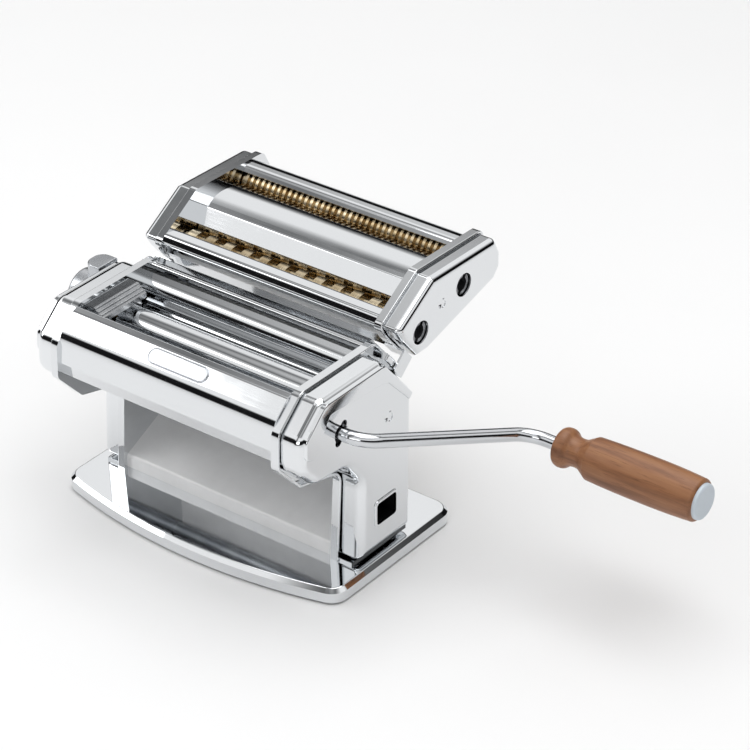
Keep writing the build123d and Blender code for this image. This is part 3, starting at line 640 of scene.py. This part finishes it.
# ------------------------------------------------------------------ sub-assemblies
class Assembly(ABC):
    """A group of pieces that are dressed together."""

    def __init__(self, frame: dict[str, Any], shop: Workshop) -> None:
        """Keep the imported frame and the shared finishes.

        Args:
            shop: Maker of the materials.
        """
        self.frame = frame
        self.shop = shop

    def build(self) -> None:
        """Make the pieces that aren't in the CAD part; most groups have none."""

    @property
    @abstractmethod
    def nodes(self) -> tuple[str, ...]:
        """CAD nodes of this group."""

    def dress(self) -> None:
        """Give every CAD node of the group the material of its slot."""
        slots = {p["node"]: p["material_slot"] for p in self.frame["record"]["subparts"]}
        for node in self.nodes:
            self.shop.dress(self.frame["nodes"][node], slots[node])
            LOG.info("dressed %s", node)

    def adopt(self, piece: bpy.types.Object, body: str, slot: str) -> None:
        """Dress a new piece and let it move with its body.

        Args:
            piece: Finished piece, at the origin.
            body: Moving body of the record that carries it.
            slot: Material slot of the part's record.
        """
        self.shop.dress(piece, slot)
        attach(piece, body)
        LOG.info("built %s", piece.name)


class Base(Assembly):
    """Pressed base on rubber feet."""

    nodes = ("base_pan", "rubber_feet", "base_screws")


class Frame(Assembly):
    """Side plates, drawn covers, rods and rails."""

    nodes = (
        "frame_plate_left",
        "frame_plate_right",
        "side_cover_left",
        "side_cover_right",
        "tie_rods",
        "tie_rod_nuts",
        "clamp_socket",
        "slide_rail_left",
        "slide_rail_right",
        "pinion_axle",
        "front_roller_bushes",
        "knob_bearing",
    )

    def build(self) -> None:
        """Raise the turning arrow on the right cover, below its swollen band."""
        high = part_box("side_cover_right")[1]
        band_rise = 1.2
        arrow = TurnArrow("cover_turn_arrow", high.x / MM - band_rise, y=6.0, z=95.0)
        self.adopt(arrow.build(), "machine", "cover_chrome")


class Panels(Assembly):
    """Sheet panels and guides between the side plates."""

    nodes = (
        "front_cover",
        "front_badge",
        "rear_cover",
        "delivery_chute",
        "rear_feed_plate",
        "rear_top_plate",
        "dough_guides",
        "roller_scrapers",
    )

    badge_normal = Vector((0.0, -0.665, 0.747))  # the flat facet below the front cover's lip
    badge_inset = 1.4
    rim_height = 8.6
    rim_lift = 0.25

    def build(self) -> None:
        """Add the bead around the blank badge."""
        low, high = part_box("front_badge")
        rim = OvalRim("badge_rim", (high.x - low.x) / MM - self.badge_inset, self.rim_height)
        centre = (low + high) / 2 + self.badge_normal * self.rim_lift * MM
        self.adopt(rim.build(centre, self.badge_normal), "machine", "badge_chrome")


class Rollers(Assembly):
    """Smooth rollers, their gears and the moving carriage."""

    nodes = (
        "front_roller",
        "front_roller_gear",
        "front_roller_clips",
        "rear_roller",
        "rear_roller_gear",
        "rear_roller_clips",
        "rear_roller_bushes",
        "gap_yoke",
    )


class Crank(Assembly):
    """Bent crank with its wooden grip."""

    nodes = ("crank_pinion", "crank_rod", "crank_cross_pin", "crank_grip", "grip_end_cap")


class Knob(Assembly):
    """Thickness knob and its spindle."""

    nodes = (
        "knob_spindle",
        "adjuster_cam",
        "knob_spring",
        "thickness_knob",
        "knob_index_pin",
    )


class CutterHead(Assembly):
    """Slide-on head with a wide and a fine cutter pair."""

    nodes = (
        "cutter_plate_left",
        "cutter_plate_right",
        "cutter_cap_left",
        "cutter_cap_right",
        "cutter_front_cover",
        "cutter_middle_cover",
        "cutter_rear_cover",
        "cutter_tie_rods",
        "cutter_bushes",
        "noodle_strippers",
        "cutter_hooks",
        "wide_driven_cutter",
        "wide_driven_gear",
        "wide_partner_cutter",
        "wide_partner_gear",
        "fine_driven_cutter",
        "fine_driven_gear",
        "fine_partner_cutter",
        "fine_partner_gear",
    )

    def build(self) -> None:
        """Raise the turning arrow on the right cap's outside face."""
        face_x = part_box("cutter_cap_right")[1].x / MM
        arrow = TurnArrow("cap_turn_arrow", face_x, y=58.5, z=141.0, radius=2.6)
        self.adopt(arrow.build(), "cutter_head", "cover_chrome")


# ------------------------------------------------------------------ studio
@dataclass(frozen=True)
class Softbox:
    """Rectangular area light aimed at the middle of the machine."""

    name: str
    place: tuple[float, float, float]
    size: tuple[float, float]
    watts: float

    def build(self) -> None:
        """Hang the light and turn it to the machine."""
        deselect_all()
        bpy.ops.object.light_add(type="AREA", location=self.place)
        light = bpy.context.object
        light.name = self.name
        light.data.shape = "RECTANGLE"
        light.data.size, light.data.size_y = self.size
        light.data.energy = self.watts
        machine_middle = Vector((0.0, 0.0, 0.08))
        aim = machine_middle - Vector(self.place)
        light.rotation_euler = aim.to_track_quat("-Z", "Y").to_euler()


SOFTBOXES = (
    Softbox("overhead_softbox", (0.1, 0.3, 1.7), (1.8, 1.4), 15.0),
    Softbox("left_softbox", (-1.6, -0.8, 1.1), (1.0, 1.2), 10.0),
    Softbox("front_softbox", (0.5, -1.9, 0.7), (1.2, 0.6), 5.0),
)

# from straight down (0) to straight up (1): a dark belt just above the horizon, a grey one near the top
BELTS: Stops = [
    (0.0, "#E8E8E8"),
    (0.50, "#F2F2F2"),
    (0.525, "#161617"),
    (0.71, "#1A1A1B"),
    (0.75, "#FFFFFF"),
    (0.86, "#FFFFFF"),
    (0.90, "#6A6B6C"),
    (0.94, "#FFFFFF"),
    (1.0, "#FFFFFF"),
]

# once around the room, from -X over -Y, +X and +Y: two dark gaps between the white walls
GAPS: Stops = [
    (0.0, "#FFFFFF"),
    (0.18, "#FFFFFF"),
    (0.22, "#1A1A1B"),
    (0.27, "#FFFFFF"),
    (0.60, "#FFFFFF"),
    (0.64, "#202021"),
    (0.70, "#FFFFFF"),
    (1.0, "#FFFFFF"),
]


@dataclass
class Studio:
    """Pale floor, banded surroundings, softboxes and camera."""

    floor_size: float = 12.0
    floor_drop: float = 0.0002
    camera_place: tuple[float, float, float] = (0.9220, -1.0963, 0.9602)
    azimuth: float = 37.21
    elevation: float = 31.32
    lens: float = 143.3
    sensor_width: float = 36.0

    def build_floor(self) -> None:
        """Lay the floor just under the feet."""
        deselect_all()
        under = (0.0, 0.0, -self.floor_drop)
        bpy.ops.mesh.primitive_plane_add(size=self.floor_size, location=under)
        floor = settle(bpy.context.object, "studio_floor")
        floor.data.materials.append(PlainFloor("studio_floor").build())

    def build_world(self) -> None:
        """Surround the chrome with white walls broken by dark gaps."""
        world = bpy.data.worlds.new("studio_world")
        bpy.context.scene.world = world
        world.use_nodes = True
        tree = world.node_tree
        background = next(n for n in tree.nodes if n.type == "BACKGROUND")
        way = add_node(tree, "ShaderNodeTexCoord").outputs["Generated"]
        split = add_node(tree, "ShaderNodeSeparateXYZ", links={"Vector": way})
        up = map_range(tree, split.outputs["Z"], (-1.0, 1.0), (0.0, 1.0))
        belts = colour_ramp(tree, up, BELTS)
        around = add_node(
            tree,
            "ShaderNodeMath",
            {"operation": "ARCTAN2"},
            {0: split.outputs["Y"], 1: split.outputs["X"]},
        ).outputs["Value"]
        turned = map_range(tree, around, (-math.pi, math.pi), (0.0, 1.0))
        gaps = colour_ramp(tree, turned, GAPS)
        mixed = add_node(
            tree,
            "ShaderNodeMix",
            {"data_type": "RGBA", "blend_type": "MULTIPLY", 0: 1.0},
            {6: belts, 7: gaps},
        ).outputs[2]
        tree.links.new(mixed, background.inputs["Color"])
        background.inputs["Strength"].default_value = 1.0

    def build_camera(self) -> None:
        """Place the camera front right and above, looking down on the machine."""
        turn_z = math.radians(self.azimuth)
        tilt = math.radians(self.elevation)
        right = Vector((math.cos(turn_z), math.sin(turn_z), 0.0))
        back = Vector(
            (math.sin(turn_z) * math.cos(tilt), -math.cos(turn_z) * math.cos(tilt), math.sin(tilt))
        )
        up = Vector(
            (-math.sin(turn_z) * math.sin(tilt), math.cos(turn_z) * math.sin(tilt), math.cos(tilt))
        )
        data = bpy.data.cameras.new("studio_camera")
        data.lens = self.lens
        data.sensor_width = self.sensor_width
        camera = bpy.data.objects.new("studio_camera", data)
        bpy.context.scene.collection.objects.link(camera)
        turn = Matrix((right, up, back)).transposed().to_4x4()
        camera.matrix_world = Matrix.Translation(self.camera_place) @ turn
        bpy.context.scene.camera = camera

    def build(self) -> None:
        """Set up the whole studio."""
        self.build_floor()
        self.build_world()
        for softbox in SOFTBOXES:
            softbox.build()
        self.build_camera()
        bpy.context.scene.view_settings.view_transform = "Standard"


def main() -> None:
    """Load the frame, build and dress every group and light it."""
    logging.basicConfig(level=logging.INFO, format="%(message)s")
    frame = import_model()
    shop = Workshop()
    for group in (Base, Frame, Panels, Rollers, Crank, Knob, CutterHead):
        assembly = group(frame, shop)
        assembly.build()
        assembly.dress()
    Studio().build()


if __name__ == "__main__":
    main()
